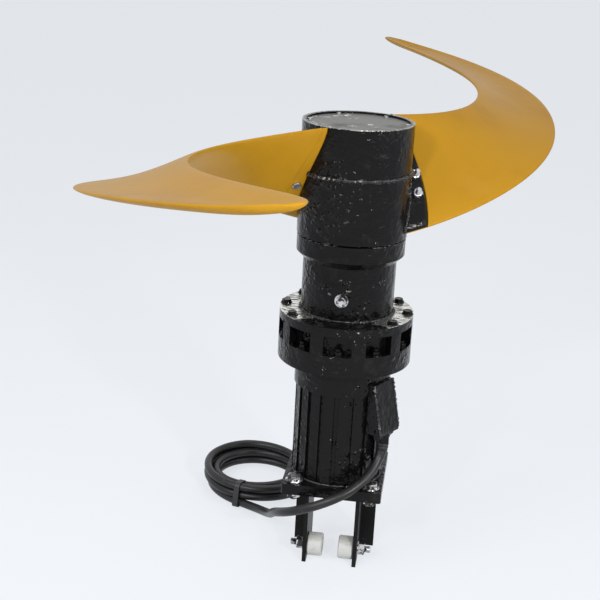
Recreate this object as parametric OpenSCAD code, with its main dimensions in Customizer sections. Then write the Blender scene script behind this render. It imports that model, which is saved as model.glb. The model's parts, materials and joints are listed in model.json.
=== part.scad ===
// Submersible flow mixer: a two-blade sickle propeller on a planetary gear motor,
// standing upright on the guide bracket at the motor's rear end.

/* [Propeller] */
// Diameter swept by the blade tips
prop_d = 1800; // [1500:10:2100]
// Outside diameter of the hub barrel
hub_d = 208; // [200:1:230]
// Height of the hub barrel
hub_h = 212; // [208:1:250]
// Wall of the hub barrel
hub_wall = 8; // [6:0.5:10]
// Outside diameter of the boss that grips the shaft
boss_d = 92; // [84:1:110]
// Thickness of the hub's bottom web
hub_web = 16; // [14:1:22]
// Thickness of the hub cover
cover_t = 8; // [6:0.5:12]
// Depth of the cover below the hub rim
cover_recess = 4; // [2:0.5:8]
// Running gap between the hub and the seal housing
hub_gap = 4; // [3:0.5:8]

/* [Blade] */
// Width of a blade along its section
blade_chord = 245; // [200:1:250]
// How much narrower a blade is at its waist
blade_waist = 25; // [0:1:50]
// Pitch angle at the hub
root_pitch = 55; // [48:1:58]
// Pitch angle at the tip
tip_pitch = 9; // [5:1:20]
// How quickly the pitch falls from hub to tip
washout = 1.9; // [1.4:0.1:2.4]
// Angle that a blade sweeps back from hub to tip
blade_skew = 66; // [50:1:75]
// How far the sweep lags at half span
skew_bow = 17; // [0:1:25]
// Height of the tip above the root
blade_rake = 155; // [100:1:180]
// How far the rake line sags at half span
rake_bow = 50; // [0:1:80]
// Thickness beside the root
blade_t_root = 20; // [16:1:26]
// Thickness at the tip
blade_t_tip = 11; // [8:1:16]
// Depth of the dished upper side
blade_camber = 9; // [0:1:14]
// Share of the span at which the tip starts to round off
tip_start = 0.72; // [0.6:0.01:0.85]
// Length of the steel root outside the hub, at its lower edge
root_len = 38; // [32:1:50]
// Length of the steel root outside the hub, at its upper edge
root_top_len = 10; // [4:1:10]
// How much thicker the steel root is than the blade, on each side
root_swell = 5; // [3:0.5:8]
// Height of the root above the middle of the hub
root_rise = 5; // [0:1:6]
// Diameter of the root bolts
root_bolt_d = 10; // [8:1:10]

/* [Drive] */
// Diameter of the propeller shaft
shaft_d = 50; // [46:1:54]
// Outside diameter of the shaft bearings
bearing_d = 90; // [86:1:96]
// Width of the shaft bearings
bearing_w = 20; // [18:1:22]
// Tooth module of the planetary gears
gear_m = 2.8; // [2.6:0.05:2.9]
// Teeth on a sun gear
sun_teeth = 15; // [15]
// Teeth on a planet gear
planet_teeth = 18; // [18]
// Planets in each stage
planet_n = 3; // [3]
// Face width of the gears
gear_w = 26; // [22:1:27]
// Thickness of a planet carrier's plate
carrier_t = 10; // [8:1:11]
// Diameter of a planet's pin
pin_d = 16; // [12:1:18]

/* [Housings] */
// Diameter of the seal housing
seal_d = 206; // [200:1:226]
// Height of the seal housing
seal_h = 45; // [44:1:60]
// Diameter of the gearbox neck
neck_d = 178; // [174:1:190]
// Wall of the gearbox neck
neck_wall = 9; // [7:0.5:10]
// Height of the gearbox housing with its flange
gearbox_h = 120; // [118:1:150]
// Diameter of the flanges
flange_d = 258; // [250:1:280]
// Thickness of the gearbox flange
gearbox_flange_t = 17; // [14:1:20]
// Thickness of the motor flange
motor_flange_t = 22; // [18:1:26]
// Height of the lantern ring between the flanges
lantern_h = 57; // [56:1:70]
// Thickness of the lantern ring's base
lantern_base_t = 19; // [15:1:24]
// Windows around the lantern ring
window_n = 10; // [8:1:12]
// Width of a lantern window
window_w = 54; // [40:1:56]
// Diameter of the flange bolts
flange_bolt_d = 10; // [8:1:10]

/* [Motor] */
// Diameter of the motor casing over its ribs
casing_d = 180; // [176:1:188]
// Wall of the motor casing between its ribs
casing_wall = 6; // [5:0.5:8]
// Height of the casing ribs
rib_h = 4; // [2:0.5:6]
// Width of a casing rib
rib_w = 19; // [12:1:20]
// Ribs around the casing
rib_n = 20; // [16:1:20]
// Length of the motor casing with its flange
casing_h = 265; // [262:1:320]
// Length of the smooth collar under the motor flange
collar_h = 54; // [40:1:70]
// Diameter of the smooth collar
collar_d = 188; // [186:1:196]
// Length of the stator core
core_h = 120; // [100:1:130]
// Diameter of the rotor core
rotor_d = 103; // [96:1:108]
// Air gap between rotor and stator
air_gap = 0.6; // [0.4:0.1:1]
// Diameter of the motor shaft inside the rotor
motor_shaft_d = 40; // [38:1:44]
// Bore of the motor bearings
motor_bearing_bore = 35; // [30:1:36]
// Outside diameter of the motor bearings
motor_bearing_d = 72; // [68:1:80]
// Width of the motor bearings
motor_bearing_w = 17; // [15:1:18]

/* [Bracket] */
// Height of the legs below the bracket plate
leg_h = 175; // [150:1:220]
// Depth of a leg's web
leg_depth = 104; // [90:1:105]
// Thickness of the legs
leg_t = 8; // [6:1:10]
// Width of a leg's back flange
leg_flange = 36; // [28:1:40]
// Clear width between the legs
leg_gap = 94; // [88:1:104]
// Distance of the legs' front edge from the mixer's axis
leg_front = 45; // [40:1:60]
// Width of the square bracket plate
plate_w = 196; // [196:1:230]
// Thickness of the bracket plate
plate_t = 12; // [10:1:16]
// Thickness of the rear cover's flange
rear_t = 10; // [8:1:14]
// Distance between the corner bolts
corner_pitch = 150; // [144:1:160]
// Diameter of the corner bolts
corner_bolt_d = 16; // [12:1:16]
// Diameter of a guide roller
roller_d = 47; // [40:1:52]
// Width of a guide roller
roller_w = 30; // [24:1:34]
// Height of the roller axis above the floor
roller_z = 30; // [28:1:60]
// Distance of the roller axis in front of the mixer's axis
roller_front = 20; // [10:1:24]
// Diameter of the roller bolts
roller_bolt_d = 14; // [12:1:16]

/* [Cable] */
// Diameter of the power cable
cable_d = 18; // [16:1:20]
// Direction of the cable entry around the casing
entry_angle = 329; // [325:1:335]
// Width of the cable entry housing
entry_w = 62; // [56:1:66]
// Height of the cable entry housing
entry_h = 100; // [90:1:110]
// How far the foot of the cable entry stands out of the casing
entry_reach = 30; // [26:1:34]
// Distance of the cable gland from the mixer's axis
gland_r = 106; // [105:1:108]
// Mean radius of the cable coil
coil_r = 105; // [98:1:110]
// Radial thickness of the cable coil
coil_w = 43; // [38:1:48]
// Height of the cable coil
coil_h = 62; // [54:1:66]
// Thickness of the coil tie
tie_t = 2; // [1.5:0.5:3]

/* [Hidden] */
$fn = 72;

// Clearances
fit = 0.02;          // pressed seats
run = 0.05;          // running fits on shafts and pins
free = 0.3;          // pieces that only stand close together
bolt_clear = 0.3;    // around a bolt's shank in its hole
backlash = 0.35;     // thinning of each gear flank, in degrees at the pitch circle of the sun
cut = 1;             // overshoot of cutting tools

// Radii
tip_r = prop_d / 2;
hub_r = hub_d / 2;
hub_in_r = hub_r - hub_wall;
shaft_r = shaft_d / 2;
bearing_r = bearing_d / 2;
seal_r = seal_d / 2;
neck_r = neck_d / 2;
neck_bore_r = neck_r - neck_wall;
flange_r = flange_d / 2;
casing_r = casing_d / 2;
core_r = casing_r - rib_h;
casing_bore_r = core_r - casing_wall;
rib_corner_r = norm([casing_r, rib_w / 2]);
lantern_bore_r = casing_bore_r + 6;
pocket_r = lantern_bore_r + 20;
flange_bolt_r = (pocket_r + flange_r) / 2;
flange_thread = 22;
tap_depth = flange_thread + 2;
window_phase = 35;
stud_foot = 5;
m_bearing_r = motor_bearing_d / 2;
m_neck_r = motor_bearing_bore / 2;

// Heights of the stack, from the floor up
plate_z = leg_h;
rear_z = plate_z + plate_t;
casing_z = rear_z + rear_t;
motor_flange_z = casing_z + casing_h - motor_flange_t;
lantern_z = casing_z + casing_h;
collar_z = motor_flange_z - collar_h;
gearbox_z = lantern_z + lantern_h;
seal_z = gearbox_z + gearbox_h;
hub_z = seal_z + seal_h + hub_gap;
hub_top = hub_z + hub_h;

// Hub details
ledge_w = 10;
ledge_h = 10;
cover_z = hub_top - cover_recess - cover_t;
boss_drop = 28;
boss_top = cover_z - boss_drop;
washer_t = 8;
washer_r = shaft_r + 15;
end_bolt_d = 20;
end_bolt_l = 48;
seal_seat_h = 12;
seal_head_r = shaft_r + 13;
seal_pocket_r = shaft_r + 16;
seal_pocket_h = 10;
key_w = 14;
key_h = 9;
key_l = 90;
key_rise = 30;
key_z = hub_z + hub_web + key_rise;
cover_screw_n = 6;
cover_screw_d = 6;

// Planetary gears
ring_teeth = sun_teeth + 2 * planet_teeth;
gear_centre = gear_m * (sun_teeth + planet_teeth) / 2;
gear_add = 0.75 * gear_m;
gear_ded = 1.0 * gear_m;
pressure_angle = 20;
gear_play = 1;
carrier_r = gear_centre + pin_d / 2 + 8;
carrier_bore_r = 20;
sun_bore_r = 12;
stage1_z = lantern_z + lantern_h - gear_w - gear_play;
carrier1_z = stage1_z + gear_w + gear_play;
stage_gap = 16;
stage2_z = carrier1_z + carrier_t + stage_gap;
carrier2_z = stage2_z + gear_w + gear_play;
carrier2_t = carrier_t + 5;

// Gearbox bearings and seals
diaphragm_z = carrier2_z + carrier2_t + 4;
diaphragm_lip = 2;
lower_bearing_z = diaphragm_z + diaphragm_lip;
diaphragm_top = lower_bearing_z + bearing_w + 4;
upper_bearing_rise = 9;
upper_bearing_z = seal_z + upper_bearing_rise;
seal_chamfer = seal_r - neck_r;
seal_lip = 10;
seal_plate_t = 18;
shaft_seal_w = 10;
shaft_seal_r = m_neck_r + 12;

// Motor inside
core_rise = 53;
core_z = casing_z + core_rise;
winding_h = 18;
winding_in = 5;
winding_out = 6;
boss_wall = 12;
rear_bearing_rise = 10;
rear_bearing_z = casing_z + rear_bearing_rise;
spigot_w = 8;
spigot_h = 14;
shield_t = motor_flange_t;
front_bearing_z = motor_flange_z + 2;
shaft_foot_z = rear_bearing_z - 4;

// Blade lofts
blade_phase = 204;
blade_rings = 32;
root_rings = 6;
ring_crowd = 1.6;
section_n = 11;
edge_power = 3.2;
tip_power = 2.5;
tip_end = 0.998;
root_mid_z = hub_z + hub_h / 2 + root_rise;
root_bolt_u = [-0.38, -0.06];
root_nut_h = 0.8 * root_bolt_d;
root_bolt_end = 14;  // thread that stands out of a root nut
root_dip = 4;        // depth of the root's loft inside the hub, which is cut off again
root_face = 3;       // depth of the flat seats under the nuts
root_grip = blade_t_root / 2 + root_swell - root_face;
blade_face = 2;      // depth of the flat seats under the bolt heads
blade_grip = blade_t_root / 2 - blade_face;
root_share = 0.985;  // width of a root as a share of the blade's
seat_x = -root_dip / (tip_r - hub_r);

// Bracket
web_x = leg_gap / 2;
roller_gap = 0.5;
roller_sink = 10.5;
nut_h = roller_bolt_d * 0.9;
plate_corner = 6;

// Cable entry and gland
entry_drop = 130;
entry_foot_z = motor_flange_z - entry_drop;
entry_lip = 6;
entry_top_r = collar_d / 2 + 5;
entry_bore_h = 24;
gland_flange_t = 8;
gland_flange_r = 14;
gland_ear_r = 8;
gland_ear_pitch = 42;
gland_nut_h = 14;
gland_nut_r = 14;
gland_z = entry_foot_z - gland_flange_t - gland_nut_h;
gland_bolt_d = 6;

// Route of the lead from the gland to the coil, and the coil's centre on the floor
lead_x = gland_r * cos(entry_angle);
lead_y = gland_r * sin(entry_angle);
lead_route = [
    [lead_x, lead_y, gland_z], [lead_x, lead_y, gland_z - 18], [87, -62, 244], [77, -84, 226],
    [59, -107, 212], [34, -124, 199], [5, -133, 188], [-25, -136, 178], [-55, -133, 166],
    [-82, -118, 150], [-102, -91, 131], [-114, -55, 107], [-123, -14, 79], [-130, 28, 52],
    [-141, 68, 30], [-157, 101, 18], [-178, 132, 14], [-200, 160, 15]
];
lead_sides = 10;
coil_pos = [-199, 270];
coil_z = tie_t + free;
tie_angle = 257;
tie_span = 7;

// Oil plug
plug_angle = 268;
plug_d = 16;
plug_z = carrier2_z + 7;

BLACK = [0.10, 0.10, 0.10];
OCHRE = [0.80, 0.58, 0.18];
GREY = [0.52, 0.51, 0.48];
STEEL = [0.70, 0.70, 0.72];
WHITE = [0.92, 0.92, 0.90];
COPPER = [0.72, 0.45, 0.20];
RUBBER = [0.07, 0.07, 0.08];

// A ring from radius a to radius b
module ring(a, b, h) {
    difference() {
        cylinder(r = b, h = h);
        translate([0, 0, -cut]) cylinder(r = a, h = h + 2 * cut);
    }
}

// A hexagon bolt whose shank points down from its seat at z = 0
module hex_bolt(d, length, head = 0.65) {
    translate([0, 0, -length]) cylinder(d = d, h = length + head * d / 2);
    cylinder(d = 1.8 * d, h = head * d, $fn = 6);
}

// A hexagon nut that stands on z = 0
module hex_nut(d, h) {
    difference() {
        cylinder(d = 1.8 * d, h = h, $fn = 6);
        translate([0, 0, -cut]) cylinder(d = d + 2 * fit, h = h + 2 * cut);
    }
}

// Copies around the axis at radius r
module around(n, r, phase = 0) {
    for (i = [0 : n - 1]) rotate(phase + i * 360 / n) translate([r, 0, 0]) children();
}

// Blade laws: x runs from 0 at the hub to 1 at the tip
function radius_at(x) = hub_r + x * (tip_r - hub_r);
function pitch_at(x) = tip_pitch + (root_pitch - tip_pitch) * pow(1 - x, washout);
function turn_at(x) = blade_phase + blade_skew * x - skew_bow * x * (1 - x);
function rise_at(x) = root_mid_z + blade_rake * x - rake_bow * x * (1 - x);
function tip_round(x) = x < tip_start ? 1
    : sqrt(1 - pow((x - tip_start) / (1 - tip_start), tip_power));
function chord_at(x) = tip_round(x)
    * (blade_chord - blade_waist * sin(180 * min(x / tip_start, 1)));
function thick_at(x) = min(blade_t_root + (blade_t_tip - blade_t_root) * x, chord_at(x) / 3);

// A point of the section at x: s along the chord, n out of the blade, both wrapped round the axis
function wrapped(x, s, n) =
    let (r = radius_at(x), b = pitch_at(x), along = s * cos(b) - n * sin(b),
         a = turn_at(x) + along / r * 180 / PI)
    [r * cos(a), r * sin(a), rise_at(x) + s * sin(b) + n * cos(b)];

// Stations run over the top from the lower edge at u = -1 to the upper edge at u = 1, and back underneath
function station(j) = -cos(180 * (j <= section_n ? j : 2 * section_n - j) / section_n);
function dish_at(u) = -blade_camber * (1 - u * u);
function skin(x, j, swell) =
    let (u = station(j), side = j <= section_n ? 1 : -1,
         t = (thick_at(x) / 2 + swell) * sqrt(max(0, 1 - pow(abs(u), edge_power))))
    wrapped(x, u * chord_at(x) / 2, dish_at(u) + side * t);

// The same section with only one side kept: the other lies on the parting surface along the mid line
function half_skin(x, j, swell, kept, share) =
    let (u = station(j), side = j <= section_n ? 1 : -1,
         t = (thick_at(x) / 2 + swell) * sqrt(max(0, 1 - pow(abs(u), edge_power))))
    wrapped(x, share * u * chord_at(x) / 2, dish_at(u) + kept * (side == kept ? t : min(free / 2, t / 3)));

// Where the steel root ends, which is closer to the hub at its upper edge
function root_end(u) = (root_top_len + (root_len - root_top_len) * (1 - u) / 2) / (tip_r - hub_r);

// A solid through a list of sections, with both ends closed
module loft(rings) {
    k = 2 * section_n;
    last = len(rings) - 1;
    function under(j) = (k - j) % k;
    walls = [for (i = [0 : last - 1], j = [0 : k - 1])
        let (a = i * k + j, b = i * k + (j + 1) % k)
        each [[a, b, b + k], [a, b + k, a + k]]];
    caps = [for (j = [0 : section_n - 1])
        each concat(
            j < section_n - 1 ? [[j, j + 1, under(j + 1)]] : [],
            j > 0 ? [[j, under(j + 1), under(j)]] : [])];
    ends = concat([for (f = caps) [f[2], f[1], f[0]]], [for (f = caps) [for (p = f) p + last * k]]);
    polyhedron(points = [for (r = rings) each r], faces = concat(walls, ends), convexity = 6);
}

// Cuts a blade or a root to the hub, and spot-faces it on one side for the heads or nuts of its bolts
module fitted_to_hub(kept, grip) {
    reach = chord_at(0);
    difference() {
        children();
        translate([0, 0, hub_z - reach]) cylinder(r = hub_r + free, h = hub_h + 2 * reach);
        for (u = root_bolt_u) at_root_bolt(u) {
            cylinder(d = root_bolt_d + 2 * bolt_clear, h = 4 * root_grip, center = true);
            translate([0, 0, kept > 0 ? grip : -grip - 2 * root_grip])
                cylinder(d = 2.1 * root_bolt_d, h = 2 * root_grip);
        }
    }
}

// The urethane blade: a tongue behind the steel root, then full sections that crowd towards the tip
module blade(side) {
    gap = free / (tip_r - hub_r);
    stations = [for (j = [0 : 2 * section_n - 1]) j];
    tongue = [for (i = [0 : root_rings]) [for (j = stations)
        half_skin(seat_x + (root_end(station(j)) + gap - seat_x) * i / root_rings, j, 0, -1, 1)]];
    open = [for (i = [0 : blade_rings]) [for (j = stations)
        let (x0 = root_end(station(j)) + 3 * gap)
        skin(x0 + (tip_end - x0) * (1 - pow(1 - i / blade_rings, ring_crowd)), j, 0)]];
    color(OCHRE) rotate(side * 180) fitted_to_hub(-1, blade_grip) loft(concat(tongue, open));
}

// Puts its children on the middle of a root bolt, with +z out of the blade
module at_root_bolt(u) {
    x = root_end(u) / 2;
    p = wrapped(x, u * chord_at(x) / 2, 0);
    translate([0, 0, p[2]]) rotate(atan2(p[1], p[0])) translate([radius_at(x), 0, 0])
        rotate([pitch_at(x), 0, 0]) translate([0, 0, dish_at(u)]) children();
}

// The steel root that carries a blade on the hub, on the blade's upper side
module blade_root(side) {
    color(BLACK) rotate(side * 180) fitted_to_hub(1, root_grip)
        loft([for (i = [0 : root_rings]) [for (j = [0 : 2 * section_n - 1])
            half_skin(seat_x + (root_end(station(j)) - seat_x) * i / root_rings, j, root_swell, 1, root_share)]]);
}

module root_bolts() {
    color(STEEL) for (side = [0, 1], u = root_bolt_u) rotate(side * 180) at_root_bolt(u)
        translate([0, 0, -blade_grip]) mirror([0, 0, 1])
            hex_bolt(root_bolt_d, blade_grip + root_grip + root_nut_h + root_bolt_end);
}

module root_nuts() {
    color(STEEL) for (side = [0, 1], u = root_bolt_u) rotate(side * 180) at_root_bolt(u)
        translate([0, 0, root_grip]) hex_nut(root_bolt_d, root_nut_h);
}

// Barrel, bottom web and boss, turned as one welded hub
module hub_shell() {
    h = hub_h;
    ledge = cover_z - hub_z;
    boss = boss_top - hub_z;
    color(BLACK) difference() {
        translate([0, 0, hub_z]) rotate_extrude() polygon([
            [seal_pocket_r, 0], [hub_r, 0], [hub_r, h], [hub_in_r, h], [hub_in_r, ledge],
            [hub_in_r - ledge_w, ledge], [hub_in_r - ledge_w, ledge - ledge_h / 2],
            [hub_in_r, ledge - ledge_h], [hub_in_r, hub_web], [boss_d / 2, hub_web], [boss_d / 2, boss],
            [shaft_r + fit, boss], [shaft_r + fit, seal_pocket_h], [seal_pocket_r, seal_pocket_h]
        ]);
        key_space(fit);
        cover_screw_places() translate([0, 0, -16]) cylinder(d = cover_screw_d + 2 * fit, h = 20);
    }
}

module cover_screw_places() {
    translate([0, 0, cover_z]) around(cover_screw_n, hub_in_r - ledge_w / 2) children();
}

module hub_cover() {
    color(GREY) difference() {
        translate([0, 0, cover_z]) cylinder(r = hub_in_r - free, h = cover_t);
        cover_screw_places() translate([0, 0, -cut])
            cylinder(d = cover_screw_d + 2 * fit, h = cover_t + 2 * cut);
    }
}

module cover_screws() {
    color(STEEL) cover_screw_places() translate([0, 0, cover_t]) {
        translate([0, 0, -cover_t - 9]) cylinder(d = cover_screw_d, h = cover_t + 10);
        cylinder(d = 0.9 * ledge_w, h = 2.5);
    }
}

// The space of the key in the shaft and the boss
module key_space(room) {
    translate([-key_w / 2 - room, shaft_r - key_h / 2 - room, key_z - room])
        cube([key_w + 2 * room, key_h + 2 * room, key_l + 2 * room]);
}

module shaft_key() {
    color(STEEL) key_space(0);
}

module propeller_shaft() {
    color(STEEL) difference() {
        union() {
            translate([0, 0, carrier2_z]) cylinder(r = carrier_bore_r, h = boss_top - carrier2_z - 2);
            translate([0, 0, carrier2_z + carrier2_t]) cylinder(
                r = shaft_r, h = boss_top - carrier2_z - carrier2_t - 2);
        }
        key_space(fit);
        translate([0, 0, boss_top - end_bolt_l]) cylinder(d = end_bolt_d + 2 * fit, h = end_bolt_l);
    }
}

module shaft_washer() {
    color(STEEL) translate([0, 0, boss_top]) ring(end_bolt_d / 2 + bolt_clear, washer_r, washer_t);
}

module shaft_bolt() {
    color(STEEL) translate([0, 0, boss_top + washer_t]) hex_bolt(end_bolt_d, end_bolt_l);
}

// Rotating half of the mechanical seal, under the hub's web
module seal_head() {
    color(GREY) translate([0, 0, seal_z + seal_h + free])
        ring(shaft_r + fit, seal_head_r, hub_gap + seal_pocket_h - free);
}

module seal_housing() {
    seat = seal_h - seal_seat_h;
    shoulder = upper_bearing_z + bearing_w - seal_z;
    color(BLACK) translate([0, 0, seal_z]) rotate_extrude() polygon([
        [bearing_r + fit, 0], [neck_bore_r - seal_lip, 0], [neck_bore_r - seal_lip, -seal_lip],
        [neck_bore_r - fit, -seal_lip], [neck_bore_r - fit, 0], [neck_r, 0], [seal_r, seal_chamfer], [seal_r, seal_h],
        [seal_pocket_r - 1, seal_h], [seal_pocket_r - 1, seat], [shaft_r + 7, seat],
        [shaft_r + 7, shoulder], [bearing_r + fit, shoulder]
    ]);
}

// Fixed half of the mechanical seal
module seal_seat() {
    color(GREY) translate([0, 0, seal_z + seal_h - seal_seat_h])
        ring(shaft_r + 1.5, seal_pocket_r - 1 - fit, seal_seat_h);
}

// A ball bearing: both races with a shallow shield between them
module bearing(bore_r, out_r, w) {
    gap = (out_r - bore_r) / 3.2;
    color(STEEL) rotate_extrude() polygon([
        [bore_r, 0], [bore_r + gap, 0], [bore_r + gap + 1, 1.5], [out_r - gap - 1, 1.5], [out_r - gap, 0],
        [out_r, 0], [out_r, w], [out_r - gap, w], [out_r - gap - 1, w - 1.5],
        [bore_r + gap + 1, w - 1.5], [bore_r + gap, w], [bore_r, w]
    ]);
}

module upper_bearing() {
    translate([0, 0, upper_bearing_z]) bearing(shaft_r + run, bearing_r, bearing_w);
}

module lower_bearing() {
    translate([0, 0, lower_bearing_z]) bearing(shaft_r + run, bearing_r, bearing_w);
}

// Neck tube with its flange and the diaphragm that holds the lower bearing
module gearbox_housing() {
    z = gearbox_z;
    color(BLACK) difference() {
        translate([0, 0, z]) rotate_extrude() polygon([
            [neck_bore_r, 0], [flange_r, 0], [flange_r, gearbox_flange_t], [neck_r, gearbox_flange_t],
            [neck_r, gearbox_h], [neck_bore_r, gearbox_h], [neck_bore_r, diaphragm_top - z],
            [bearing_r + fit, diaphragm_top - z], [bearing_r + fit, lower_bearing_z - z],
            [bearing_r - 5, lower_bearing_z - z], [bearing_r - 5, diaphragm_z - z],
            [neck_bore_r, diaphragm_z - z]
        ]);
        gearbox_bolt_places() translate([0, 0, -gearbox_flange_t - cut])
            cylinder(d = flange_bolt_d + 2 * bolt_clear, h = gearbox_flange_t + 2 * cut);
        at_oil_plug() translate([0, 0, -2 * neck_wall]) cylinder(d = plug_d + 2 * fit, h = 3 * neck_wall);
    }
}

module at_oil_plug() {
    rotate(plug_angle) translate([neck_r, 0, plug_z]) rotate([0, 90, 0]) children();
}

module oil_plug() {
    color(BLACK) at_oil_plug() {
        translate([0, 0, 1 - neck_wall]) cylinder(d = plug_d, h = neck_wall + 1);
        translate([0, 0, free]) cylinder(d = 1.6 * plug_d, h = 3);
        cylinder(d = 1.3 * plug_d, h = 11, $fn = 6);
    }
}

module gearbox_bolt_places() {
    translate([0, 0, gearbox_z + gearbox_flange_t]) around(window_n, flange_bolt_r, window_phase) children();
}

module gearbox_bolts() {
    color(BLACK) gearbox_bolt_places() hex_bolt(flange_bolt_d, gearbox_flange_t + flange_thread);
}

// Involute gears: half the angle of a tooth at radius r
function involute(a) = tan(a) * 180 / PI - a;
function half_tooth(z, r, pitch_r, extra) =
    let (base = pitch_r * cos(pressure_angle))
    90 / z + extra + involute(pressure_angle) - involute(acos(min(1, base / max(r, base))));

module gear_outline(z, root, tip, extra, phase) {
    pitch_r = gear_m * z / 2;
    base = pitch_r * cos(pressure_angle);
    up = [root, max(root, base), pitch_r, tip];
    polygon([for (i = [0 : z - 1]) each concat(
        [for (r = up) let (a = phase + i * 360 / z - half_tooth(z, r, pitch_r, extra)) r * [cos(a), sin(a)]],
        [for (k = [3 : -1 : 0])
            let (r = up[k], a = phase + i * 360 / z + half_tooth(z, r, pitch_r, extra)) r * [cos(a), sin(a)]]
    )]);
}

// Play of a flank as an angle on a gear with z teeth
function play_angle(z) = backlash * sun_teeth / z;

module gear(z, bore_r, phase = 0) {
    pitch_r = gear_m * z / 2;
    difference() {
        linear_extrude(gear_w) gear_outline(z, pitch_r - gear_ded, pitch_r + gear_add, -play_angle(z), phase);
        translate([0, 0, -cut]) cylinder(r = bore_r, h = gear_w + 2 * cut);
    }
}

module ring_gear(out_r) {
    pitch_r = gear_m * ring_teeth / 2;
    difference() {
        cylinder(r = out_r, h = gear_w);
        translate([0, 0, -cut]) linear_extrude(gear_w + 2 * cut)
            gear_outline(ring_teeth, pitch_r - gear_add, pitch_r + gear_ded, play_angle(ring_teeth),
                         180 / ring_teeth);
    }
}

module ring_gear_1() {
    color(STEEL) translate([0, 0, stage1_z]) ring_gear(lantern_bore_r - fit);
}

module ring_gear_2() {
    color(STEEL) translate([0, 0, stage2_z]) ring_gear(neck_bore_r - fit);
}

module sun_gear_1() {
    color(STEEL) translate([0, 0, stage1_z]) gear(sun_teeth, sun_bore_r + fit);
}

module sun_gear_2() {
    color(STEEL) translate([0, 0, stage2_z]) gear(sun_teeth, sun_bore_r + fit);
}

module planet(z, i) {
    color(STEEL) rotate(i * 360 / planet_n) translate([gear_centre, 0, z])
        gear(planet_teeth, pin_d / 2 + run, 180 / planet_teeth);
}

module planet_1a() planet(stage1_z, 0);
module planet_1b() planet(stage1_z, 1);
module planet_1c() planet(stage1_z, 2);
module planet_2a() planet(stage2_z, 0);
module planet_2b() planet(stage2_z, 1);
module planet_2c() planet(stage2_z, 2);

// A plate with one pin for each planet hanging from it
module carrier_plate(z, t) {
    translate([0, 0, z]) cylinder(r = carrier_r, h = t);
    around(planet_n, gear_centre) translate([0, 0, z - gear_w - gear_play])
        cylinder(d = pin_d, h = gear_w + gear_play + cut);
}

module carrier_1() {
    color(STEEL) union() {
        carrier_plate(carrier1_z, carrier_t);
        translate([0, 0, carrier1_z]) cylinder(r = sun_bore_r, h = stage2_z + gear_w - carrier1_z);
        translate([0, 0, carrier1_z]) cylinder(r = sun_bore_r + 5, h = stage2_z - carrier1_z);
    }
}

module carrier_2() {
    color(STEEL) difference() {
        carrier_plate(carrier2_z, carrier2_t);
        translate([0, 0, carrier2_z - cut]) cylinder(r = carrier_bore_r + fit, h = carrier2_t + 2 * cut);
    }
}

// Ring between the flanges, with pockets that give access to the lower nuts
module lantern_ring() {
    step = 360 / window_n;
    color(BLACK) translate([0, 0, lantern_z]) difference() {
        cylinder(r = flange_r, h = lantern_h);
        translate([0, 0, -cut]) cylinder(r = lantern_bore_r, h = lantern_h + 2 * cut);
        around(window_n, pocket_r, window_phase + step / 2) translate([0, -window_w / 2, lantern_base_t])
            cube([flange_r, window_w, lantern_h]);
        around(window_n, flange_bolt_r, window_phase + step / 2) translate([0, 0, -cut])
            cylinder(d = flange_bolt_d + 2 * bolt_clear, h = lantern_base_t + 2 * cut);
        around(window_n, flange_bolt_r, window_phase) translate([0, 0, lantern_h - tap_depth])
            cylinder(d = flange_bolt_d + 2 * fit, h = tap_depth + cut);
    }
}

// Cover between the motor and the gear oil
module seal_plate() {
    color(STEEL) translate([0, 0, lantern_z]) difference() {
        cylinder(r = lantern_bore_r - fit, h = seal_plate_t);
        translate([0, 0, -cut]) cylinder(r = m_neck_r + 3, h = seal_plate_t);
        translate([0, 0, seal_plate_t - shaft_seal_w]) cylinder(r = shaft_seal_r + fit, h = shaft_seal_w + cut);
    }
}

module shaft_seal() {
    color(RUBBER) translate([0, 0, lantern_z + seal_plate_t - shaft_seal_w])
        ring(m_neck_r + run, shaft_seal_r, shaft_seal_w);
}

module motor_bolt_places() {
    around(window_n, flange_bolt_r, window_phase + 180 / window_n) children();
}

// Studs in the motor flange
module motor_bolts() {
    color(BLACK) motor_bolt_places() translate([0, 0, motor_flange_z + stud_foot])
        cylinder(d = flange_bolt_d, h = motor_flange_t - stud_foot + lantern_base_t + 1.3 * flange_bolt_d);
}

module motor_nuts() {
    color(STEEL) motor_bolt_places() translate([0, 0, lantern_z + lantern_base_t])
        hex_nut(flange_bolt_d, 0.9 * flange_bolt_d);
}

// Ribbed motor tube with its flange
module motor_casing() {
    rib_len = casing_h - motor_flange_t - collar_h;
    color(BLACK) translate([0, 0, casing_z]) difference() {
        union() {
            cylinder(r = core_r, h = casing_h);
            translate([0, 0, rib_len]) cylinder(d = collar_d, h = collar_h);
            translate([0, 0, casing_h - motor_flange_t]) cylinder(r = flange_r, h = motor_flange_t);
            for (i = [0 : rib_n - 1]) rotate((i + 0.5) * 360 / rib_n)
                translate([core_r - casing_wall / 2, -rib_w / 2, 0])
                    cube([rib_h + casing_wall / 2, rib_w, rib_len + cut]);
        }
        translate([0, 0, -cut]) cylinder(r = casing_bore_r, h = casing_h + 2 * cut);
        motor_bolt_places() translate([0, 0, casing_h - motor_flange_t + stud_foot - free])
            cylinder(d = flange_bolt_d + 2 * fit, h = motor_flange_t);
    }
}

// Disc that holds the motor's front bearing
module end_shield() {
    color(STEEL) translate([0, 0, motor_flange_z]) difference() {
        cylinder(r = casing_bore_r - fit, h = shield_t);
        translate([0, 0, -cut]) cylinder(r = m_neck_r + 6, h = shield_t + 2 * cut);
        translate([0, 0, front_bearing_z - motor_flange_z])
            cylinder(r = m_bearing_r + fit, h = shield_t);
    }
}

module front_bearing() {
    translate([0, 0, front_bearing_z]) bearing(m_neck_r + run, m_bearing_r, motor_bearing_w);
}

module stator_core() {
    color(GREY) translate([0, 0, core_z]) ring(rotor_d / 2 + air_gap, casing_bore_r - fit, core_h);
}

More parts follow.
